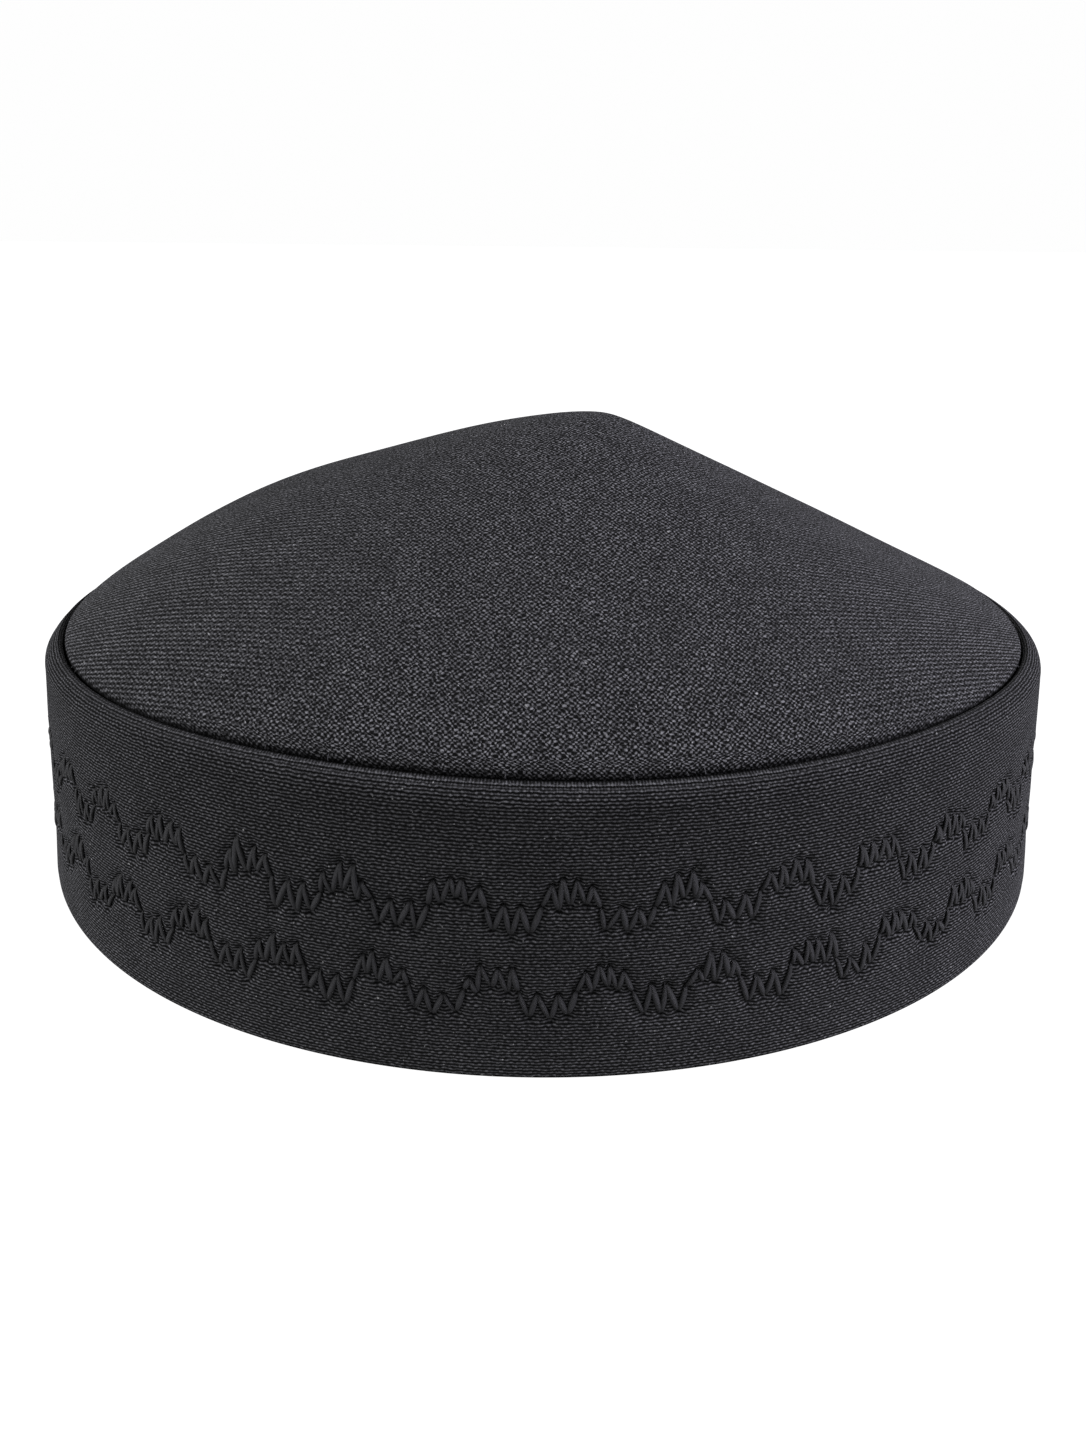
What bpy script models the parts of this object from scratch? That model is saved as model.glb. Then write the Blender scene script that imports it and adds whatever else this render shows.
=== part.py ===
"""Topi cap: a low oval band of stiff cloth with a one-piece crown that rises to an off-centre peak.

The long way of the cap lies on X and the rim stands on Z = 0, centred on the origin.
Both pieces are open cloth surfaces, lofted through ovals and given their thickness by Solidify.
"""
from math import cos, exp, pi, radians, sin, sqrt

import bmesh
import bpy

# Driving sizes of the whole cap, in metres.
RIM_LENGTH = 0.1934
RIM_WIDTH = 0.1716
SEAM_HEIGHT = 0.0431
PEAK_HEIGHT = 0.0790
SEAM_GAP = 0.0003

# Band: a wall that leans in, with a straight hem at the rim and a rounded shoulder at the seam.
BAND_THICKNESS = 0.0022
BAND_LEAN = 0.0039
HEM_HEIGHT = 0.0015
SHOULDER_WIDTH = 0.0035
SHOULDER_RADIUS = 0.0031
SHOULDER_STEPS = 5
WALL_STEPS = 3

# Crown: peak, rolled edge and the allowance that hangs inside the band.
CROWN_THICKNESS = 0.0016
PEAK_X = 0.0097
PEAK_SOFTNESS = 0.055
EDGE_LIFT = 0.0010
EDGE_ROLL = 0.0018
ROLL_STEPS = 4
ALLOWANCE = 0.0060
CROWN_STEPS = 13
STEP_CROWDING = 1.4

# How full the slope is: 1 is straight, more is rounder. It is fullest at -X and nearly straight at +X.
FULLNESS = 1.23
FULLNESS_SWING = 0.25

# The soft swell in the crown beside the peak, where the cloth folds when the cap is laid flat.
SWELL_RISE = 0.0025
SWELL_X = -0.0570
SWELL_LENGTH = 0.0268
SWELL_WIDTH = 0.0450

SPOKES = 80
SHARP_ANGLE = radians(40)

# Worked out from the driving sizes.
SEAM_INSET = BAND_LEAN + SHOULDER_WIDTH
CROWN_INSET = SEAM_INSET + SEAM_GAP / 2
CROWN_HALF_LENGTH = RIM_LENGTH / 2 - CROWN_INSET
CROWN_HALF_WIDTH = RIM_WIDTH / 2 - CROWN_INSET
CROWN_RISE = PEAK_HEIGHT - SEAM_HEIGHT - EDGE_LIFT


def clear_scene():
    for leftover in list(bpy.data.objects):
        bpy.data.objects.remove(leftover, do_unlink=True)


def cloth_material(name, colour, roughness):
    material = bpy.data.materials.new(name)
    material.use_nodes = True
    shader = material.node_tree.nodes["Principled BSDF"]
    shader.inputs["Base Color"].default_value = (*colour, 1)
    shader.inputs["Roughness"].default_value = roughness
    shader.inputs["Metallic"].default_value = 0
    return material


def oval(inset, height):
    """The rim's oval drawn in by inset, at a height."""
    ring = []
    for spoke in range(SPOKES):
        angle = 2 * pi * spoke / SPOKES
        x = (RIM_LENGTH / 2 - inset) * cos(angle)
        y = (RIM_WIDTH / 2 - inset) * sin(angle)
        ring.append((x, y, height))
    return ring


def cloth_piece(name, rings, tip, thickness, material, collection):
    """Loft an open surface through rings, bottom first, close it at a tip if it has one, and thicken it."""
    bm = bmesh.new()
    loops = [[bm.verts.new(point) for point in ring] for ring in rings]
    for below, above in zip(loops, loops[1:]):
        for spoke in range(SPOKES):
            beside = (spoke + 1) % SPOKES
            bm.faces.new((below[spoke], below[beside], above[beside], above[spoke]))
    if tip:
        tip_vertex = bm.verts.new(tip)
        for spoke in range(SPOKES):
            bm.faces.new((loops[-1][spoke], loops[-1][(spoke + 1) % SPOKES], tip_vertex))
    mesh = bpy.data.meshes.new(name)
    bm.to_mesh(mesh)
    bm.free()
    mesh.shade_smooth()
    mesh.set_sharp_from_angle(angle=SHARP_ANGLE)
    mesh.materials.append(material)
    piece = bpy.data.objects.new(name, mesh)
    collection.objects.link(piece)
    wall = piece.modifiers.new("cloth thickness", "SOLIDIFY")
    wall.thickness = thickness
    wall.offset = -1
    wall.use_even_offset = True
    return piece


def band_rings():
    """Hem, leaning wall, and a rounded shoulder that turns in to the seam."""
    shoulder_start = SEAM_HEIGHT - SHOULDER_RADIUS
    rings = [oval(0, 0)]
    for step in range(WALL_STEPS + 1):
        share = step / WALL_STEPS
        height = HEM_HEIGHT + (shoulder_start - HEM_HEIGHT) * share
        rings.append(oval(BAND_LEAN * share, height))
    for step in range(1, SHOULDER_STEPS + 1):
        turn = pi / 2 * step / SHOULDER_STEPS
        inset = BAND_LEAN + SHOULDER_RADIUS * (1 - cos(turn))
        rings.append(oval(inset, shoulder_start + SHOULDER_RADIUS * sin(turn)))
    rings.append(oval(SEAM_INSET - SEAM_GAP / 2, SEAM_HEIGHT))
    return rings


def reach_at(angle):
    """Distance from the peak to the seam oval along an angle."""
    along = (cos(angle) / CROWN_HALF_LENGTH) ** 2 + (sin(angle) / CROWN_HALF_WIDTH) ** 2
    slant = PEAK_X * cos(angle) / CROWN_HALF_LENGTH ** 2
    left_over = (PEAK_X / CROWN_HALF_LENGTH) ** 2 - 1
    return (sqrt(slant * slant - along * left_over) - slant) / along


def crown_point(angle, share, drop=0):
    """A point a share of the way from the peak down to the seam, let down by drop."""
    softened = (sqrt(share ** 2 + PEAK_SOFTNESS ** 2) - PEAK_SOFTNESS) / (
        sqrt(1 + PEAK_SOFTNESS ** 2) - PEAK_SOFTNESS)
    slope = 1 - softened ** (FULLNESS - FULLNESS_SWING * cos(angle))
    x = PEAK_X + reach_at(angle) * share * cos(angle)
    y = reach_at(angle) * share * sin(angle)
    swell = SWELL_RISE * exp(-((x - SWELL_X) / SWELL_LENGTH) ** 2 - (y / SWELL_WIDTH) ** 2)
    return (x, y, SEAM_HEIGHT + EDGE_LIFT + CROWN_RISE * slope + swell - drop)


def crown_rings():
    """Allowance, rolled edge, then the slope up to just below the peak."""
    angles = [2 * pi * spoke / SPOKES for spoke in range(SPOKES)]
    rim = [crown_point(angle, 1, EDGE_ROLL) for angle in angles]
    rings = [[(x, y, SEAM_HEIGHT - ALLOWANCE) for x, y, z in rim], rim]
    for step in range(1, ROLL_STEPS):
        turn = pi / 2 * (1 - step / ROLL_STEPS)
        inward = EDGE_ROLL * (1 - sin(turn))
        drop = EDGE_ROLL * (1 - cos(turn))
        rings.append([crown_point(angle, 1 - inward / reach_at(angle), drop) for angle in angles])
    for step in range(CROWN_STEPS, 0, -1):
        level = (step / CROWN_STEPS) ** STEP_CROWDING
        rings.append([crown_point(angle, level * (1 - EDGE_ROLL / reach_at(angle))) for angle in angles])
    return rings


clear_scene()
topi_cap = bpy.data.collections.new("topi_cap")
bpy.context.scene.collection.children.link(topi_cap)

band_cloth = cloth_material("band_cloth", (0.021, 0.021, 0.022), 0.90)
crown_cloth = cloth_material("crown_cloth", (0.035, 0.035, 0.037), 0.92)

cloth_piece("band", band_rings(), None, BAND_THICKNESS, band_cloth, topi_cap)
cloth_piece("crown", crown_rings(), crown_point(0, 0), CROWN_THICKNESS, crown_cloth, topi_cap)
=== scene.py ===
from math import cos, pi, radians, sin

import bpy
import numpy as np
from mathutils import Matrix, Vector, noise


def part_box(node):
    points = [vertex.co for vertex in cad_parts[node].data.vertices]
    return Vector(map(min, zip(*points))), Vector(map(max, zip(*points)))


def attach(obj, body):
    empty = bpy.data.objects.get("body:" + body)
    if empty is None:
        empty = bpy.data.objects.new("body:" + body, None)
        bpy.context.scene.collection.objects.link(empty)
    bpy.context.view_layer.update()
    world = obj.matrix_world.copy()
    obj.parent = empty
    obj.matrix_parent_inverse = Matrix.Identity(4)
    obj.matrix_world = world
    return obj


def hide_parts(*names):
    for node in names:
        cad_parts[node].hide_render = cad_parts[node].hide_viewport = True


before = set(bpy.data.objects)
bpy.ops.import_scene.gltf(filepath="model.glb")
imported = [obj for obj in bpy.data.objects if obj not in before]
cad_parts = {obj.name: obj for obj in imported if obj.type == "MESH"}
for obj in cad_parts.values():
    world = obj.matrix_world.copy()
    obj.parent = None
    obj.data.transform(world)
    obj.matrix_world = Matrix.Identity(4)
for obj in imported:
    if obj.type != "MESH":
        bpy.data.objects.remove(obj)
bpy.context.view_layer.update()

# Studio: a glowing white table in a white room, with a softbox high on either side. The camera is a
# phone held close to the cap, so the near side of the rim looks much larger than the far side. Its
# lens is given by the focal length in pixels of the photo's 1086 by 1448 frame.
PHOTO_HEIGHT = 1448
FOCAL_PIXELS = 1068.5
SENSOR = 36
CAMERA_PLACE = Vector((-0.00616, -0.20295, 0.10696))
CAMERA_TILT = radians(24.07)
CAMERA_HEADING = radians(1.718)
CAMERA_ROLL = radians(0.598)

lens = bpy.data.cameras.new("camera")
lens.sensor_width = SENSOR
lens.lens = SENSOR * FOCAL_PIXELS / PHOTO_HEIGHT
lens.clip_start = 0.01
camera = bpy.data.objects.new("camera", lens)
bpy.context.scene.collection.objects.link(camera)
camera.matrix_world = (
    Matrix.Translation(CAMERA_PLACE)
    @ Matrix.Rotation(-CAMERA_HEADING, 4, "Z")
    @ Matrix.Rotation(pi / 2 - CAMERA_TILT, 4, "X")
    @ Matrix.Rotation(CAMERA_ROLL, 4, "Z"))
bpy.context.scene.camera = camera
bpy.context.scene.view_settings.view_transform = "Standard"

TABLE_SIZE = 400
TABLE_GLOW = 1.0
ROOM_WHITE = 0.99
table_mesh = bpy.data.meshes.new("table_top")
half = TABLE_SIZE / 2
table_corners = [(-half, -half, 0), (half, -half, 0), (half, half, 0), (-half, half, 0)]
table_mesh.from_pydata(table_corners, [], [(0, 1, 2, 3)])
table_top = bpy.data.objects.new("table_top", table_mesh)
bpy.context.scene.collection.objects.link(table_top)
table_paint = bpy.data.materials.new("table_paint")
table_paint.use_nodes = True
table_shader = table_paint.node_tree.nodes["Principled BSDF"]
table_shader.inputs["Base Color"].default_value = (0.05, 0.05, 0.05, 1)
table_shader.inputs["Emission Color"].default_value = (1, 1, 1, 1)
table_shader.inputs["Emission Strength"].default_value = TABLE_GLOW
table_shader.inputs["Roughness"].default_value = 0.9
table_shader.inputs["Specular IOR Level"].default_value = 0.1
table_mesh.materials.append(table_paint)

room = bpy.data.worlds.new("white_room")
bpy.context.scene.world = room
room.use_nodes = True
room.node_tree.nodes["Background"].inputs["Color"].default_value = (ROOM_WHITE, ROOM_WHITE, ROOM_WHITE, 1)
room.node_tree.nodes["Background"].inputs["Strength"].default_value = 1

SOFTBOXES = [
    {"name": "right_side", "place": (0.93, -0.17, 0.44), "width": 0.5, "height": 0.25, "watts": 27.0,
     "tint": (1, 0.98, 1.10)},
    {"name": "left_side", "place": (-0.95, -0.05, 0.46), "width": 0.5, "height": 0.25, "watts": 20.5,
     "tint": (1, 1, 1.03)},
]
SOFTBOX_AIM = Vector((0, 0, 0.04))
for box in SOFTBOXES:
    lamp = bpy.data.lights.new(box["name"], "AREA")
    lamp.shape = "RECTANGLE"
    lamp.size = box["width"]
    lamp.size_y = box["height"]
    lamp.energy = box["watts"]
    lamp.color = box["tint"]
    softbox = bpy.data.objects.new(box["name"], lamp)
    softbox.location = box["place"]
    aim = SOFTBOX_AIM - Vector(box["place"])
    softbox.rotation_euler = aim.to_track_quat("-Z", "Y").to_euler()
    bpy.context.scene.collection.objects.link(softbox)

# Crown: one oval of black plain-woven cloth on a pressed body, eased up to a soft off-centre peak.
# Its edge is rolled over and hangs inside the band as the seam allowance. Its weave runs along the
# cap and bows back towards both ends, where the cloth was drawn down.
_, crown_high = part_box("crown")
_, band_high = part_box("band")
RIM_HALF_LENGTH = band_high[0]
RIM_HALF_WIDTH = band_high[1]
SEAM_HEIGHT = band_high[2]
PEAK_HEIGHT = crown_high[2]
CROWN_HALF_LENGTH = crown_high[0]
CROWN_HALF_WIDTH = crown_high[1]
CROWN_THICKNESS = 0.0016
EDGE_EASE = 0.00004
END_EASE = 0.00024
END_EASE_AT = radians(172)
END_EASE_SPREAD = 0.4
FRONT_EASE = 0.00018
FRONT_EASE_TURN = radians(8)
UNDERCUT = 0.00035
UNDERCUT_DEPTH = 0.0014
CREVICE = 0.0013
PEAK_X = 0.0097
PEAK_SOFTNESS = 0.055
EDGE_LIFT = 0.0010
EDGE_ROLL = 0.0015
END_TIGHTER = 0.70
DRAWN_DOWN = 0.85
FRONT_FADE = 0.2
FRONT_SHARPNESS = 2
END_HELD_UP = 0.8
DRAWN_FADE_FRONT = 8
DRAWN_FADE_BACK = 32
ALLOWANCE = 0.0060
SEWN_DEPTH = 0.0024
SEWN_OUT = 0.00029
FULLNESS = 1.23
FULLNESS_SWING = 0.25
SWELL_RISE = 0.0025
SWELL_X = -0.0570
SWELL_LENGTH = 0.0268
SWELL_WIDTH = 0.0450
CROWN_SPOKES = 288
CROWN_RINGS = 64
ROLL_RINGS = 7
UNDERCUT_RINGS = 5
CLOTH_UNEVEN = 0.00022
CLOTH_UNEVEN_SPACING = 0.021
CLOTH_UNEVEN_SEED = 3.1
OVAL_STEPS = 7200

# The seam isn't level: it stands higher at the front and the left end, with slow waves along it.
SEAM_UP_AT_FRONT = 0.00055
SEAM_UP_AT_LEFT = 0.00022
SEAM_TWO_WAVES = 0.00014
SEAM_FIVE_WAVES = 0.00035
SEAM_WAVES_TURN = radians(10)

# The groove under the rolled edge is darkened with painted shade. The weave shows as rows towards the edge,
# most of all at the ends, and is pulled crisp over the front of the edge. Both start and fade in by shares of
# the way from the peak to the edge.
CREASE_PAINTED_SHADE = 0.95
CREASE_FROM = radians(48)
CREASE_OVER = radians(34)
ENDS_FROM = 0.35
ENDS_OVER = 0.5
ROWS_FROM = 0.2
ROWS_OVER = 0.5
ROWS_LEAST = 0.12
ROWS_MORE_AT_ENDS = 0.48
CRISP_FROM = 0.8
CRISP_OVER = 0.15
CRISP_AT_FRONT = 0.2

# The weave itself, worked out in millimetres along and across the cap.
MILLIMETRES = 1000
ROW_BEND = 0.110
WAVER_LENGTHWISE = 1.6
ROWS_STRAIGHTER = 0.4
CRISP_RELIEF = 0.45
WEAVE_RELIEF = 0.00022
# Painted shade: the weave's height darkens its colour in the hollows, besides its bump.
HOLLOWS_PAINTED_DARKER = 1.8
# At its fullest, painted shade takes the cloth's colour this close to black.
DARKEST_PAINTED_SHADE = 0.05
BLUISH = 1.07


def even_angles(half_length, half_width, count):
    """Angles round an oval, even in length along it, from the middle of the front towards +X."""
    fine = np.linspace(-pi / 2, 3 * pi / 2, OVAL_STEPS + 1)
    x, y = half_length * np.cos(fine), half_width * np.sin(fine)
    walked = np.concatenate([[0], np.cumsum(np.hypot(np.diff(x), np.diff(y)))])
    steps = np.arange(count) / count * walked[-1]
    return np.interp(steps, walked, fine), walked[-1]


def seam_wander(angle):
    """How far the sewn seam runs above or below its level: up at the front, down at the back."""
    tilt = -SEAM_UP_AT_FRONT * np.sin(angle) - SEAM_UP_AT_LEFT * np.cos(angle)
    easing = SEAM_TWO_WAVES * np.cos(2 * angle)
    easing = easing - SEAM_FIVE_WAVES * np.cos(5 * (angle + pi / 2 - SEAM_WAVES_TURN))
    return tilt + easing


def unevenness(points, size, spacing, seed):
    """Slow soft lumps in pressed cloth, one value for each point."""
    shift = Vector((seed, seed * 0.37, -seed))
    return np.array([size * noise.noise(Vector(point) / spacing + shift) for point in points])


def woven_shell(name, rings, weave, tip=None, tip_weave=None, closed=False):
    """A cloth surface through rings of points, with the weave's own coordinates in millimetres."""
    count_rings, count = rings.shape[:2]
    points = rings.reshape(-1, 3)
    last = count_rings if closed else count_rings - 1
    row = np.arange(last)[:, None] * count
    row_above = (np.arange(1, last + 1) % count_rings)[:, None] * count
    here = np.arange(count)[None, :]
    beside = (here + 1) % count
    faces = np.stack([row + here, row + beside, row_above + beside, row_above + here], -1).reshape(-1, 4)
    across = np.broadcast_to(here, (last, count))
    level = np.broadcast_to(np.arange(last)[:, None], (last, count))
    corner_column = np.stack([across, across + 1, across + 1, across], -1).reshape(-1, 4)
    corner_level = np.stack([level, level, level + 1, level + 1], -1).reshape(-1, 4)
    corner_weave = weave[corner_level, corner_column].reshape(-1, 2)
    face_list = faces.tolist()
    if tip is not None:
        top = (count_rings - 1) * count
        tip_index = len(points)
        points = np.vstack([points, tip])
        fan = [(top + i, top + (i + 1) % count, tip_index) for i in range(count)]
        face_list += fan
        fan_weave = np.stack([weave[-1, :-1], weave[-1, 1:], np.broadcast_to(tip_weave, (count, 2))], 1)
        corner_weave = np.vstack([corner_weave, fan_weave.reshape(-1, 2)])
    mesh = bpy.data.meshes.new(name)
    mesh.from_pydata(points.tolist(), [], face_list)
    mesh.uv_layers.new(name="weave").data.foreach_set("uv", corner_weave.astype(np.float32).ravel())
    mesh.shade_smooth()
    mesh.update()
    piece = bpy.data.objects.new(name, mesh)
    bpy.context.scene.collection.objects.link(piece)
    return piece


def mark_cloth(piece, name, values):
    """Gives the cloth's points a value that its material reads."""
    marks = piece.data.attributes.new(name, "FLOAT", "POINT")
    marks.data.foreach_set("value", np.array(values, dtype=np.float32).ravel())


def crown_swell(x, y):
    """How far the cloth stands up in the soft swell to the left of the peak."""
    return SWELL_RISE * np.exp(-((x - SWELL_X) / SWELL_LENGTH) ** 2 - (y / SWELL_WIDTH) ** 2)


def crown_height(x, y, share, bearing):
    """Height of the crown's cloth over a place, without its rolled edge."""
    softened = (np.sqrt(share ** 2 + PEAK_SOFTNESS ** 2) - PEAK_SOFTNESS) / (
        np.sqrt(1 + PEAK_SOFTNESS ** 2) - PEAK_SOFTNESS)
    slope = 1 - softened ** (FULLNESS - FULLNESS_SWING * np.cos(bearing))
    rise = PEAK_HEIGHT - SEAM_HEIGHT - EDGE_LIFT
    return SEAM_HEIGHT + EDGE_LIFT + rise * slope + crown_swell(x, y)


def crown_cloth_rings():
    """Allowance, rolled edge and slope, bottom ring first, with the weave's coordinates and marks."""
    angles, _ = even_angles(CROWN_HALF_LENGTH, CROWN_HALF_WIDTH, CROWN_SPOKES)
    edge_x, edge_y = CROWN_HALF_LENGTH * np.cos(angles), CROWN_HALF_WIDTH * np.sin(angles)
    reach = np.hypot(edge_x - PEAK_X, edge_y)
    bearing = np.arctan2(edge_y, edge_x - PEAK_X)
    rings, weaves, painted_crease_shades, folds, tights = [], [], [], [], []
    ease = EDGE_EASE + END_EASE * np.exp(-((np.mod(angles, 2 * pi) - END_EASE_AT) / END_EASE_SPREAD) ** 2)
    ease = ease + FRONT_EASE * np.clip(-np.sin(angles + FRONT_EASE_TURN), 0, 1) ** 4
    roll = EDGE_ROLL * (1 - END_TIGHTER * np.cos(angles) ** 2)
    drawn_down = DRAWN_DOWN * (crown_swell(edge_x, edge_y) + EDGE_ROLL - roll)
    front = np.clip(FRONT_FADE - FRONT_SHARPNESS * np.sin(angles), 0, 1)
    back = (1 - front) * (1 - END_HELD_UP * np.clip(np.cos(angles), 0, 1))
    ends = np.clip((abs(np.cos(angles)) - ENDS_FROM) / ENDS_OVER, 0, 1)

    def add_ring(inward, drop, wrap, painted_crease_shade):
        """One ring of the cloth, how far it has wrapped round the edge, and how much painted shade it gets.
        """
        inward = inward + ease
        share = 1 - inward / reach
        x, y = PEAK_X + (edge_x - PEAK_X) * share, edge_y * share
        z = crown_height(x, y, share, bearing) - drop + seam_wander(angles) * share ** 3
        within = np.clip(share, 0, 1)
        z = z - drawn_down * (front * within ** DRAWN_FADE_FRONT + back * within ** DRAWN_FADE_BACK)
        lumps = unevenness(np.stack([x, y, 0 * x], -1), CLOTH_UNEVEN, CLOTH_UNEVEN_SPACING, CLOTH_UNEVEN_SEED)
        z = z + lumps * (1 - share ** 6)
        rings.append(np.stack([x, y, z], -1))
        row = y + wrap * np.sin(bearing) - x ** 2 / (2 * ROW_BEND)
        weaves.append(np.stack([x + wrap * np.cos(bearing), row], -1) * MILLIMETRES)
        painted_crease_shades.append(np.full_like(reach, painted_crease_shade))
        folds.append(np.clip((share - ROWS_FROM) / ROWS_OVER, 0, 1) * (ROWS_LEAST + ROWS_MORE_AT_ENDS * ends))
        tights.append(np.clip((share - CRISP_FROM) / CRISP_OVER, 0, 1) * CRISP_AT_FRONT * front)

    # The allowance and the undercut sit down in the groove and take full painted shade.
    for hang in (ALLOWANCE, SEWN_DEPTH):
        add_ring(-SEWN_OUT - ease, hang + roll, hang + roll, 1)
    for ring in range(UNDERCUT_RINGS):
        turn = pi * (1 - ring / UNDERCUT_RINGS)
        drop = roll + UNDERCUT_DEPTH * turn / pi
        add_ring(np.full_like(reach, UNDERCUT * (1 - cos(turn)) / 2), drop, drop, 1)
    for ring in range(ROLL_RINGS):
        turn = pi / 2 * (1 - ring / ROLL_RINGS)
        # Painted shade darkens the roll as it turns under into the groove.
        painted_crease_shade = CREASE_PAINTED_SHADE * min(1, max(0, (turn - CREASE_FROM) / CREASE_OVER))
        add_ring(roll * (1 - sin(turn)), roll * (1 - cos(turn)), roll * turn, painted_crease_shade)
    for ring in range(CROWN_RINGS):
        share = 1 - ring / CROWN_RINGS
        add_ring((reach - ease) * (1 - share) + roll * share, 0, 0, 0)
    weaves = np.array(weaves)
    marks = {"painted_shade": np.array(painted_crease_shades), "fold": np.array(folds), "tight": np.array(tights)}
    return np.array(rings), np.concatenate([weaves, weaves[:, :1]], 1), marks


def add_node(tree, kind, **settings):
    """A shader node; settings are its own values, or its inputs by name."""
    node = tree.nodes.new(kind)
    for key, value in settings.items():
        if hasattr(node, key):
            setattr(node, key, value)
        else:
            node.inputs[key.replace("_", " ").title()].default_value = value
    return node


def add_math(tree, operation, first, second):
    """A math node on two sources, each a socket or a plain number; gives its result."""
    node = add_node(tree, "ShaderNodeMath", operation=operation)
    for slot, source in enumerate((first, second)):
        if isinstance(source, (int, float)):
            node.inputs[slot].default_value = source
        else:
            tree.links.new(source, node.inputs[slot])
    return node.outputs["Value"]


def add_ripple(tree, source, pitch):
    """A wave from -1 to 1 along a source in millimetres, one crest every pitch."""
    return add_math(tree, "COSINE", add_math(tree, "MULTIPLY", source, 2 * pi / pitch), 0)


def add_noise(tree, place, scale, detail):
    """Soft flat noise over the weave's millimetres."""
    soft = add_node(tree, "ShaderNodeTexNoise", noise_dimensions="2D", scale=scale, detail=detail)
    tree.links.new(place.outputs["UV"], soft.inputs["Vector"])
    return soft


def add_range(tree, source, **limits):
    """A source that runs from 0 to 1, or between from_min and from_max, set between new limits."""
    node = add_node(tree, "ShaderNodeMapRange", **limits)
    tree.links.new(source, node.inputs["Value"])
    return node.outputs["Result"]


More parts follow.
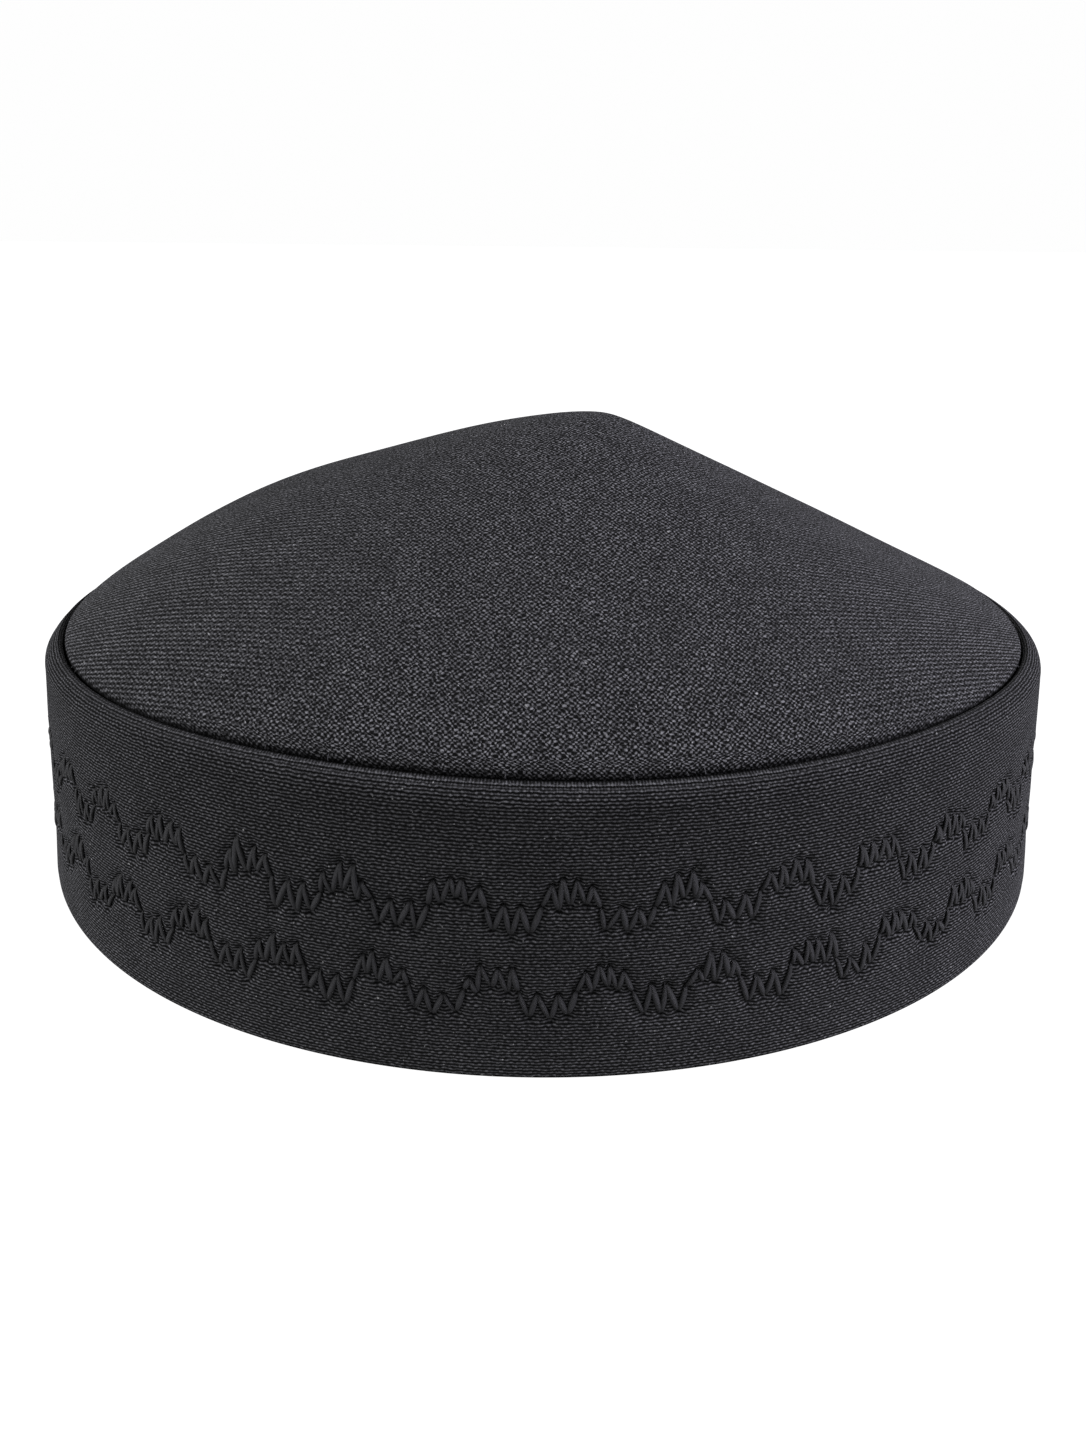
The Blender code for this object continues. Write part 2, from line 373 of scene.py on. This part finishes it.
def black_weave(name, warp, weft, rows, waver, edge_weft, edge_beads, edge_painted_highlight,
                mottling, thread, gap, speck):
    """Black plain weave: raised rows of weft over a check of warp, painted shade in the hollows, pale slubs.

    The pitches warp, weft and edge_weft are in millimetres. The share called rows is how far the rows
    show over the check, and edge_beads how far the warp breaks up the rows of a folded edge. A folded
    edge is also lightened by a given gain, a painted highlight.
    """
    material = bpy.data.materials.new(name)
    material.use_nodes = True
    tree = material.node_tree
    shader = tree.nodes["Principled BSDF"]
    link = tree.links.new
    place = add_node(tree, "ShaderNodeUVMap", uv_map="weave")
    fold = add_node(tree, "ShaderNodeAttribute", attribute_name="fold")
    tight = add_node(tree, "ShaderNodeAttribute", attribute_name="tight")
    painted_shade = add_node(tree, "ShaderNodeAttribute", attribute_name="painted_shade")

    drift = add_noise(tree, place, scale=0.8, detail=3)
    centred = add_node(tree, "ShaderNodeVectorMath", operation="SUBTRACT")
    centred.inputs[1].default_value = (0.5, 0.5, 0.5)
    link(drift.outputs["Color"], centred.inputs[0])
    wander = add_node(tree, "ShaderNodeVectorMath", operation="MULTIPLY")
    wander.inputs[1].default_value = (waver * WAVER_LENGTHWISE, waver, 0)
    link(centred.outputs["Vector"], wander.inputs[0])
    straightened = add_node(tree, "ShaderNodeVectorMath", operation="SCALE")
    link(wander.outputs["Vector"], straightened.inputs[0])
    kept_waver = add_range(tree, fold.outputs["Fac"], to_min=1, to_max=ROWS_STRAIGHTER)
    link(kept_waver, straightened.inputs["Scale"])
    wavered = add_node(tree, "ShaderNodeVectorMath", operation="ADD")
    link(straightened.outputs["Vector"], wavered.inputs[0])
    link(place.outputs["UV"], wavered.inputs[1])
    split = add_node(tree, "ShaderNodeSeparateXYZ")
    link(wavered.outputs["Vector"], split.inputs["Vector"])

    across, along = split.outputs["X"], split.outputs["Y"]
    checks = add_math(tree, "MULTIPLY", add_ripple(tree, across, 2 * warp), add_ripple(tree, along, 2 * weft))
    checks = add_math(tree, "MINIMUM", add_math(tree, "MULTIPLY", checks, 2), 1)
    checks = add_math(tree, "MAXIMUM", checks, -1)
    open_rows = add_math(tree, "MULTIPLY", add_ripple(tree, along, weft), rows)
    open_weave = add_math(tree, "ADD", open_rows, add_math(tree, "MULTIPLY", checks, 1 - rows))
    drawn = add_node(tree, "ShaderNodeMix")
    link(fold.outputs["Fac"], drawn.inputs[0])
    link(open_weave, drawn.inputs[2])
    edge_rows = add_math(tree, "MULTIPLY", add_ripple(tree, along, edge_weft), 1 - edge_beads)
    beads = add_math(tree, "MULTIPLY", add_ripple(tree, across, warp), edge_beads)
    link(add_math(tree, "ADD", edge_rows, beads), drawn.inputs[3])
    crispness = add_math(tree, "ADD", add_math(tree, "MULTIPLY", tight.outputs["Fac"], CRISP_RELIEF), 0.5)
    height = add_math(tree, "ADD", add_math(tree, "MULTIPLY", drawn.outputs[0], crispness), 0.5)
    height = add_math(tree, "MAXIMUM", add_math(tree, "MINIMUM", height, 1), 0)

    mottle = add_range(tree, add_noise(tree, place, scale=2.0, detail=2).outputs["Fac"],
                       from_min=0.33, from_max=0.67, to_min=1 - mottling, to_max=1 + mottling)
    clouds = add_range(tree, add_noise(tree, place, scale=0.16, detail=1).outputs["Fac"],
                       from_min=0.3, from_max=0.7, to_min=0.91, to_max=1.11)
    # Painted highlight: a folded edge is lightened by the edge's gain.
    painted_edge_highlight = add_range(tree, fold.outputs["Fac"], to_min=1, to_max=edge_painted_highlight)
    # Painted shade in the weave's hollows; crisper relief deepens it.
    shade = add_math(tree, "POWER", height, HOLLOWS_PAINTED_DARKER)
    for layer in (mottle, painted_edge_highlight, clouds):
        shade = add_math(tree, "MULTIPLY", shade, layer)
    mottled = add_node(tree, "ShaderNodeVectorMath", operation="SCALE")
    mottled.inputs[0].default_value = (thread, thread, thread * BLUISH)
    link(shade, mottled.inputs["Scale"])

    slubs = add_node(tree, "ShaderNodeTexVoronoi", voronoi_dimensions="2D", scale=0.74, randomness=1)
    link(wavered.outputs["Vector"], slubs.inputs["Vector"])
    slub_size = add_range(tree, slubs.outputs["Color"], from_min=0.7, from_max=1, to_min=0.001, to_max=0.13)
    slub_edge = add_math(tree, "SUBTRACT", slub_size, slubs.outputs["Distance"])
    slubbed = add_node(tree, "ShaderNodeVectorMath", operation="ADD")
    link(mottled.outputs["Vector"], slubbed.inputs[0])
    link(add_range(tree, slub_edge, from_max=0.03, to_min=gap, to_max=speck), slubbed.inputs[1])
    colour = add_node(tree, "ShaderNodeVectorMath", operation="SCALE")
    link(slubbed.outputs["Vector"], colour.inputs[0])
    # Painted shade from the cloth's mark darkens the colour towards black.
    link(add_range(tree, painted_shade.outputs["Fac"], to_min=1, to_max=DARKEST_PAINTED_SHADE), colour.inputs["Scale"])
    link(colour.outputs["Vector"], shader.inputs["Base Color"])

    relief = add_node(tree, "ShaderNodeBump", strength=1, distance=WEAVE_RELIEF)
    link(height, relief.inputs["Height"])
    link(relief.outputs["Normal"], shader.inputs["Normal"])
    shader.inputs["Roughness"].default_value = 1
    shader.inputs["Specular IOR Level"].default_value = 0.03
    return material


rings, weave, marks = crown_cloth_rings()
tip_lump = unevenness([(PEAK_X, 0, 0)], CLOTH_UNEVEN, CLOTH_UNEVEN_SPACING, CLOTH_UNEVEN_SEED)[0]
tip = (PEAK_X, 0, PEAK_HEIGHT + tip_lump)
crown = woven_shell("crown_cloth", rings, weave, tip=tip, tip_weave=(PEAK_X * MILLIMETRES, 0))
for mark, values in marks.items():
    mark_cloth(crown, mark, np.append(values.ravel(), 0))
crown.data.materials.append(black_weave(
    "crown_weave", warp=0.435, weft=0.40, rows=0.12, waver=0.85, edge_weft=0.96, edge_beads=0,
    edge_painted_highlight=1.0, mottling=0.76, thread=0.052, gap=0.0012, speck=0.11))
cloth_body = crown.modifiers.new("cloth thickness", "SOLIDIFY")
cloth_body.thickness = CROWN_THICKNESS
cloth_body.offset = -1
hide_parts("crown")
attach(crown, "root")

# Band: a strip of the same cloth over a stiff body, joined into an oval that leans in to the top.
# It is folded under at the rim and turned in over a soft shoulder, and its turned edge hangs beside
# the crown's allowance. The two rows of zigzag stitching press it in and pucker it.
BAND_THICKNESS = 0.0022
BAND_LEAN = 0.0039
HEM_HEIGHT = 0.0015
RIM_FOLD = 0.0003
RIM_CORNER = 0.3
SHOULDER_RADIUS = 0.0031
SHOULDER_ROWS = 14
LIP_EASE = 0.00004
LIP_ROUND = 0.00055
BEAD_WIDTH = 0.0013
BEAD_RISE = 0.00016
FOLD_WIDTH = 0.0034
# Painted shade: the wall darkens towards its top, as if lit more from below.
TOP_PAINTED_SHADE = 0.20
# Crisper weave at the band's sides: more relief, and deeper painted shade in its hollows.
CRISP_AT_SIDES = 0.7
TURNED_EDGE = 0.0052
TURNED_THICKNESS = 0.0009
SEAM_GAP = 0.00025
SEAM_INSET = RIM_HALF_LENGTH - CROWN_HALF_LENGTH - SEAM_GAP
SEAM_LIFT_FROM = 0.012
BAND_COLUMNS = 1080

# Each row of stitching repeats four narrow steps above its middle and three wide ones below it.
REPEATS = 36
ROW_LEVELS = [
    {"row": "upper", "middle": 0.02631, "shift": 0.00141},
    {"row": "lower", "middle": 0.01343, "shift": 0.00625},
]
ZIGZAG_UP = 0.0040
ZIGZAG_DOWN = 0.0041
PEAKS = (0.80, 0.98, 0.98, 0.80)
VALLEYS = (0.90, 1.0, 0.92)
NARROW_STEP = 0.0625
WIDE_STEP = 0.0833
NEEDLE_WANDER = 0.00028
NEEDLE_WANDER_UP = NEEDLE_WANDER * 1.6
NEEDLE_SEED = 11
NEAREST_STITCHES = 4
NO_LENGTH = 1e-12
STITCH_MARGIN = 0.0006
STITCH_PRESS = 0.00040
STITCH_PRESS_WIDTH = 0.0010
# Painted shade round each stitch, deeper at the needle holes.
STITCH_PAINTED_SHADE = 0.5
STITCH_PAINTED_SHADE_WIDTH = 0.00060
NEEDLE_DIMPLE = 0.00045
NEEDLE_DIMPLE_WIDTH = 0.00050
NEEDLE_PAINTED_SHADE = 0.6
NEEDLE_PAINTED_SHADE_WIDTH = 0.00046

# Where the pressed wall is not quite an even oval: a flare at the hem, fullness on the diagonals,
# slack in the left end's shoulder, and soft lumps where neither the rim nor the seam holds it.
HEM_FLARE = 0.00022
DIAGONAL_FULLNESS = 0.00035
SLACK_END = 0.0009
SLACK_AT = radians(174)
SLACK_SPREAD = 0.36
SLACK_ABOVE = 0.7
SLACK_INWARD = 0.6
SLACK_INSET = 0.0046
SLACK_WIDTH = 0.0026
BAND_UNEVEN = 0.00016
BAND_UNEVEN_SPACING = 0.011
BAND_UNEVEN_SEED = 7.7
HELD_AT_RIM = 0.006
HELD_AT_SEAM = 0.004

angles, round_length = even_angles(
    RIM_HALF_LENGTH - BAND_LEAN / 2, RIM_HALF_WIDTH - BAND_LEAN / 2, BAND_COLUMNS)
repeat_length = round_length / REPEATS


def needle_points(level, seed):
    """Where the needle went in along one row: narrow zigzags up from the middle, wide ones down."""
    chance = np.random.default_rng(seed)
    around, height = [], []
    for repeat in range(REPEATS):
        along = repeat - len(PEAKS) * NARROW_STEP
        for reach in PEAKS:
            around += [along, along + NARROW_STEP]
            height += [0, reach * ZIGZAG_UP]
            along += 2 * NARROW_STEP
        for reach in VALLEYS:
            around += [along, along + WIDE_STEP]
            height += [0, -reach * ZIGZAG_DOWN]
            along += 2 * WIDE_STEP
    around = np.array(around) * repeat_length + level["shift"]
    height = np.array(height) + level["middle"]
    around = around + chance.normal(0, NEEDLE_WANDER, len(around))
    height = height + chance.normal(0, NEEDLE_WANDER_UP, len(height))
    return around, height


def wall_inset(height):
    """How far the wall has leaned in at a height."""
    top = SEAM_HEIGHT - SHOULDER_RADIUS
    return BAND_LEAN * np.clip((height - HEM_HEIGHT) / (top - HEM_HEIGHT), 0, 1)


def near_stitches(around, height, needles):
    """Distance from each place on the wall to the nearest stitch, and to the nearest needle hole."""
    needle_around, needle_height = needles
    order = np.concatenate([needle_around - round_length, needle_around, needle_around + round_length])
    levels = np.tile(needle_height, 3)
    first = np.searchsorted(order, around)
    to_stitch = np.full(around.shape, 1.0)
    to_needle = np.full(around.shape, 1.0)
    for offset in range(-NEAREST_STITCHES, NEAREST_STITCHES):
        start = np.clip(first + offset, 0, len(order) - 2)
        ax, ay, bx, by = order[start], levels[start], order[start + 1], levels[start + 1]
        run_x, run_y = bx - ax, by - ay
        share = ((around - ax) * run_x + (height - ay) * run_y) / (run_x ** 2 + run_y ** 2 + NO_LENGTH)
        share = np.clip(share, 0, 1)
        gap = np.hypot(around - ax - run_x * share, height - ay - run_y * share)
        to_stitch = np.minimum(to_stitch, gap)
        to_needle = np.minimum(to_needle, np.hypot(around - ax, height - ay))
    return to_stitch, to_needle


def wall_press(around, height, rows):
    """How far the stitching draws the wall in, and the painted shade round its stitches and needle holes."""
    press = np.zeros(around.shape)
    painted_shade = np.zeros(around.shape)
    for needles in rows:
        to_stitch, to_needle = near_stitches(around, height, needles)
        press += STITCH_PRESS * np.exp(-(to_stitch / STITCH_PRESS_WIDTH) ** 2)
        press += NEEDLE_DIMPLE * np.exp(-(to_needle / NEEDLE_DIMPLE_WIDTH) ** 2)
        painted_shade = np.maximum(painted_shade, STITCH_PAINTED_SHADE * np.exp(-(to_stitch / STITCH_PAINTED_SHADE_WIDTH) ** 2))
        painted_shade = np.maximum(painted_shade, NEEDLE_PAINTED_SHADE * np.exp(-(to_needle / NEEDLE_PAINTED_SHADE_WIDTH) ** 2))
    return press, painted_shade


def wall_place(angle, height, outward):
    """Points on the band's outer wall, moved outward along the oval's normal."""
    inset = wall_inset(height)
    half_length, half_width = RIM_HALF_LENGTH - inset, RIM_HALF_WIDTH - inset
    across = np.stack([half_width * np.cos(angle), half_length * np.sin(angle)], -1)
    across = across / np.linalg.norm(across, axis=-1, keepdims=True)
    up = np.clip(height / SEAM_HEIGHT, 0, 1)
    outward = outward + HEM_FLARE * (1 - up) ** 6 + DIAGONAL_FULLNESS * np.sin(2 * angle) ** 2 * (1 - up)
    x = half_length * np.cos(angle) + across[..., 0] * outward
    y = half_width * np.sin(angle) + across[..., 1] * outward
    lifted = np.clip((height - SEAM_LIFT_FROM) / (SEAM_HEIGHT - SEAM_LIFT_FROM), 0, 1)
    return np.stack([x, y, height + seam_wander(angle) * lifted ** 2], -1)


def band_profile():
    """Inset and height of each row of the band, from the rim up the wall, in, and down the inside."""
    shoulder = SEAM_HEIGHT - SHOULDER_RADIUS
    rows = [(BAND_THICKNESS / 2, 0), (RIM_FOLD, 0)]
    rows += [(RIM_FOLD * (1 - sin(turn)), RIM_FOLD * (1 - cos(turn))) for turn in (pi / 6, pi / 3, pi / 2)]
    upper, lower = [
        (level["middle"] - ZIGZAG_DOWN - STITCH_MARGIN, level["middle"] + ZIGZAG_UP + STITCH_MARGIN)
        for level in ROW_LEVELS]
    zones = [
        {"from": HEM_HEIGHT, "to": lower[0], "rows": 6},
        {"from": lower[0], "to": lower[1], "rows": 20},
        {"from": lower[1], "to": upper[0], "rows": 3},
        {"from": upper[0], "to": upper[1], "rows": 20},
        {"from": upper[1], "to": shoulder, "rows": 7},
    ]
    for zone in zones:
        heights = np.linspace(zone["from"], zone["to"], zone["rows"], endpoint=False)
        rows += [(wall_inset(height), height) for height in heights]
    lip = SEAM_INSET - LIP_EASE
    for step in range(SHOULDER_ROWS):
        turn = pi / 2 * step / SHOULDER_ROWS
        inset, height = BAND_LEAN + SHOULDER_RADIUS * (1 - cos(turn)), shoulder + SHOULDER_RADIUS * sin(turn)
        ridge = np.clip((inset - lip + BEAD_WIDTH) / BEAD_WIDTH, 0, 1)
        rows.append((inset, height + BEAD_RISE * sin(pi * ridge)))
    for turn in (0, pi / 6, pi / 3, pi / 2):
        rows.append((lip - LIP_ROUND * (1 - sin(turn)), SEAM_HEIGHT - LIP_ROUND * (1 - cos(turn))))
    rows.append((lip, SEAM_HEIGHT - CREVICE))
    rows.append((lip, SEAM_HEIGHT - TURNED_EDGE))
    rows.append((lip - TURNED_THICKNESS, SEAM_HEIGHT - TURNED_EDGE))
    rows.append((SEAM_INSET - TURNED_THICKNESS, shoulder))
    rows.append((BAND_LEAN + BAND_THICKNESS, shoulder))
    rows.append((BAND_LEAN / 2 + BAND_THICKNESS, SEAM_HEIGHT / 2))
    rows.append((BAND_THICKNESS, HEM_HEIGHT))
    rows.append((BAND_THICKNESS - RIM_FOLD * RIM_CORNER, RIM_FOLD * RIM_CORNER))
    rows.append((BAND_THICKNESS - RIM_FOLD, 0))
    return rows


rows = [needle_points(level, seed) for seed, level in enumerate(ROW_LEVELS, NEEDLE_SEED)]
profile = band_profile()
outer_rows = max(index for index, (inset, height) in enumerate(profile) if height >= SEAM_HEIGHT)
columns = np.arange(BAND_COLUMNS + 1) / BAND_COLUMNS * round_length
around = columns[:-1]
rings, weave, painted_shades, folds, tights = [], [], [], [], []
walked = 0.0
for index, (inset, height) in enumerate(profile):
    level = np.full(BAND_COLUMNS, height)
    proud = np.zeros(BAND_COLUMNS)
    painted_shade = np.zeros(BAND_COLUMNS)
    # Painted shade: the turned edge darkens as it goes down into the groove, below its rounding.
    if index > outer_rows:
        depth = (SEAM_HEIGHT - LIP_ROUND - height) / (CREVICE - LIP_ROUND)
        painted_shade = np.full(BAND_COLUMNS, np.clip(depth, 0, 1) * (height > SEAM_HEIGHT / 2))
    if HEM_HEIGHT <= height and index <= outer_rows:
        press, painted_shade = wall_press(around, level, rows)
        # Painted shade growing towards the top of the wall.
        painted_shade = np.maximum(painted_shade, TOP_PAINTED_SHADE * height / SEAM_HEIGHT)
        loose = np.clip(height / HELD_AT_RIM, 0, 1) * np.clip((SEAM_HEIGHT - height) / HELD_AT_SEAM, 0, 1)
        flat = wall_place(angles, level, 0 * angles)
        proud = unevenness(flat, BAND_UNEVEN, BAND_UNEVEN_SPACING, BAND_UNEVEN_SEED) * loose - press
    slack = SLACK_END * np.exp(-((np.mod(angles, 2 * pi) - SLACK_AT) / SLACK_SPREAD) ** 2)
    slack = slack * max(0, 1 - abs(inset - SLACK_INSET) / SLACK_WIDTH) * (height > SEAM_HEIGHT * SLACK_ABOVE)
    points = wall_place(angles, level, proud - inset + wall_inset(level) - slack * SLACK_INWARD)
    points[:, 2] -= slack
    rings.append(points)
    painted_shades.append(painted_shade)
    near_lip = np.clip(1 - (SEAM_INSET - inset) / FOLD_WIDTH, 0, 1)
    folds.append(near_lip * (ROWS_LEAST + (1 - ROWS_LEAST) * np.sin(angles) ** 2))
    at_lip, at_sides = near_lip ** 0.5 * np.sin(angles) ** 4, (1 - near_lip) * np.cos(angles) ** 2
    tights.append(at_lip + CRISP_AT_SIDES * at_sides)
    if index:
        before = profile[index - 1]
        walked += np.hypot(inset - before[0], height - before[1])
    weave.append(np.stack([columns, np.full(BAND_COLUMNS + 1, walked)], -1) * MILLIMETRES)
weave.append(weave[-1] + (0, (BAND_THICKNESS / 2 - RIM_FOLD) * MILLIMETRES))

band = woven_shell("band_cloth", np.array(rings), np.array(weave), closed=True)
mark_cloth(band, "painted_shade", painted_shades)
mark_cloth(band, "fold", folds)
mark_cloth(band, "tight", tights)
band.data.materials.append(black_weave(
    "band_weave", warp=0.49, weft=0.50, rows=0.72, waver=0.42, edge_weft=0.94, edge_beads=0.4,
    edge_painted_highlight=1.3, mottling=0.62, thread=0.0445, gap=0.0010, speck=0.125))
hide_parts("band")
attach(band, "root")

# Zigzag stitching: two rows of thick black thread sewn by machine through the band, which steps up
# and down between two levels all the way round. Each stitch arches from one needle hole to the next.
THREAD_HALF_WIDTH = 0.00043
THREAD_HALF_HEIGHT = 0.00026
THREAD_SIDES = 8
THREAD_STEPS = 9
THREAD_TAPER = 0.16
THREAD_ROUND_ENDS = 0.55
THREAD_BLUISH = 1.12
THREAD_THINNEST = 0.78
THREAD_THICKEST = 1.1
THREAD_SEED = 29
ARCH = 0.00026
ARCH_FLATNESS = 0.38
SINK = 0.00040
SEATED = 0.9


def sewing_thread(name, dark, light):
    """Black polyester thread: darker than the cloth, a little glossy, with fibres along it and painted shade
    at its ends.
    """
    material = bpy.data.materials.new(name)
    material.use_nodes = True
    tree = material.node_tree
    shader = tree.nodes["Principled BSDF"]
    place = add_node(tree, "ShaderNodeUVMap", uv_map="fibre")
    strands = add_node(tree, "ShaderNodeTexWave", wave_type="BANDS", bands_direction="X",
                       scale=1.6, distortion=2.5, detail=2)
    tree.links.new(place.outputs["UV"], strands.inputs["Vector"])
    shades = add_node(tree, "ShaderNodeMixRGB")
    shades.inputs["Color1"].default_value = (dark, dark, dark * THREAD_BLUISH, 1)
    shades.inputs["Color2"].default_value = (light, light, light * THREAD_BLUISH, 1)
    tree.links.new(strands.outputs["Fac"], shades.inputs["Fac"])
    split = add_node(tree, "ShaderNodeSeparateXYZ")
    tree.links.new(place.outputs["UV"], split.inputs["Vector"])
    # Painted shade: each stitch darkens towards both ends, where it goes into the cloth.
    along = add_math(tree, "MULTIPLY", split.outputs["Y"], pi / (THREAD_STEPS - 1))
    painted_end_shade = add_range(tree, add_math(tree, "SINE", along, 0), to_min=0.45, to_max=1.1)
    shaded = add_node(tree, "ShaderNodeVectorMath", operation="SCALE")
    tree.links.new(shades.outputs["Color"], shaded.inputs[0])
    tree.links.new(painted_end_shade, shaded.inputs["Scale"])
    tree.links.new(shaded.outputs["Vector"], shader.inputs["Base Color"])
    relief = add_node(tree, "ShaderNodeBump", strength=1, distance=0.00006)
    tree.links.new(strands.outputs["Fac"], relief.inputs["Height"])
    tree.links.new(relief.outputs["Normal"], shader.inputs["Normal"])
    shader.inputs["Roughness"].default_value = 0.7
    shader.inputs["Specular IOR Level"].default_value = 0.15
    return material


def thread_mesh(name, paths, outs, half_width, half_height, material):
    """One mesh of flat oval threads, each swept along its own path, closed at both ends."""
    steps = paths.shape[1]
    along = np.gradient(paths, axis=1)
    along /= np.linalg.norm(along, axis=-1, keepdims=True)
    side = np.cross(along, outs)
    side /= np.linalg.norm(side, axis=-1, keepdims=True)
    up = np.cross(side, along)
    turn = 2 * pi * np.arange(THREAD_SIDES) / THREAD_SIDES
    taper = np.sin(np.linspace(THREAD_TAPER * pi, (1 - THREAD_TAPER) * pi, steps)) ** THREAD_ROUND_ENDS
    taper = taper[None, :, None, None]
    plump = np.random.default_rng(THREAD_SEED).uniform(THREAD_THINNEST, THREAD_THICKEST, len(paths))
    plump = plump[:, None, None, None]
    wide = plump * half_width * taper * np.cos(turn)[None, None, :, None] * side[:, :, None, :]
    tall = plump * half_height * taper * np.sin(turn)[None, None, :, None] * up[:, :, None, :]
    points = (paths[:, :, None, :] + wide + tall).reshape(-1, 3)
    faces, fibres = [], []
    for stitch in range(len(paths)):
        start = stitch * steps * THREAD_SIDES
        for step in range(steps - 1):
            for edge in range(THREAD_SIDES):
                beside = (edge + 1) % THREAD_SIDES
                low, high = start + step * THREAD_SIDES, start + (step + 1) * THREAD_SIDES
                faces.append((low + edge, low + beside, high + beside, high + edge))
                fibres += [(edge, step), (edge + 1, step), (edge + 1, step + 1), (edge, step + 1)]
        ends = [start + edge for edge in range(THREAD_SIDES)]
        faces.append(tuple(reversed(ends)))
        faces.append(tuple(end + (steps - 1) * THREAD_SIDES for end in ends))
        fibres += [(0, 0)] * (2 * THREAD_SIDES)
    mesh = bpy.data.meshes.new(name)
    mesh.from_pydata(points.tolist(), [], faces)
    mesh.uv_layers.new(name="fibre").data.foreach_set("uv", np.array(fibres, dtype=np.float32).ravel())
    mesh.shade_smooth()
    mesh.materials.append(material)
    piece = bpy.data.objects.new(name, mesh)
    bpy.context.scene.collection.objects.link(piece)
    return piece


zigzag_thread = sewing_thread("zigzag_thread", dark=0.007, light=0.020)
for level, needles in zip(ROW_LEVELS, rows):
    needle_around, needle_height = needles
    next_around = np.append(needle_around[1:], needle_around[0] + round_length)
    next_height = np.append(needle_height[1:], needle_height[0])
    share = np.linspace(0, 1, THREAD_STEPS)[None, :]
    stitch_around = needle_around[:, None] + (next_around - needle_around)[:, None] * share
    stitch_height = needle_height[:, None] + (next_height - needle_height)[:, None] * share
    stitch_angle = np.interp(
        np.mod(stitch_around, round_length), np.append(around, round_length), np.append(angles, 3 * pi / 2))
    bow = np.sin(pi * share) ** ARCH_FLATNESS
    proud = -SINK + (SINK + ARCH) * bow - STITCH_PRESS * SEATED
    paths = wall_place(stitch_angle, stitch_height, np.broadcast_to(proud, stitch_angle.shape))
    outs = np.stack([np.cos(stitch_angle), np.sin(stitch_angle), 0 * stitch_angle], -1)
    stitches = thread_mesh(
        "zigzag_" + level["row"], paths, outs, THREAD_HALF_WIDTH, THREAD_HALF_HEIGHT, zigzag_thread)
    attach(stitches, "root")

# Seam: the crown's rolled edge and the band's turned edge are sewn together by machine. Only the
# short bars of thread that cross the bottom of the groove show.
SEAM_STITCH = 0.0024
SHOWING = 0.16
SEAM_SEED = 5
SEAM_SHARE = 0.93
BAR_OUT = 0.00030
BAR_MIDDLE_OUT = 0.4
BAR_RISE = 0.0008
BAR_MIDDLE_UP = 0.4
BAR_LEAST_RISE = 0.3
BAR_LEAN = 0.002
BAR_STEPS = 5
BAR_HALF_WIDTH = 0.00010
BAR_HALF_HEIGHT = 0.00008

chance = np.random.default_rng(SEAM_SEED)
bars = int(round_length * SEAM_SHARE / SEAM_STITCH)
seam_angles, _ = even_angles(CROWN_HALF_LENGTH, CROWN_HALF_WIDTH, bars)
seam_angles = seam_angles[chance.random(bars) < SHOWING]
share = np.linspace(-0.5, 0.5, BAR_STEPS)[None, :]
lean = chance.normal(0, BAR_LEAN, len(seam_angles))
bar_angles = seam_angles[:, None] + lean[:, None] * share
rise = chance.uniform(BAR_LEAST_RISE, 1.0, len(seam_angles)) * BAR_RISE
bar_height = SEAM_HEIGHT + seam_wander(bar_angles) + rise[:, None] * (share + BAR_MIDDLE_UP)
bar_out = BAR_OUT * (BAR_MIDDLE_OUT - 2 * share) - 2 * BAR_OUT * share ** 2
seam_x = (CROWN_HALF_LENGTH + bar_out) * np.cos(bar_angles)
seam_y = (CROWN_HALF_WIDTH + bar_out) * np.sin(bar_angles)
bar_paths = np.stack([seam_x, seam_y, bar_height], -1)
bar_outs = np.stack([np.cos(bar_angles), np.sin(bar_angles), 0 * bar_angles], -1)
pale_thread = sewing_thread("seam_thread", dark=0.015, light=0.040)
seam_thread = thread_mesh(
    "seam_thread", bar_paths, bar_outs, BAR_HALF_WIDTH, BAR_HALF_HEIGHT, pale_thread)
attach(seam_thread, "root")
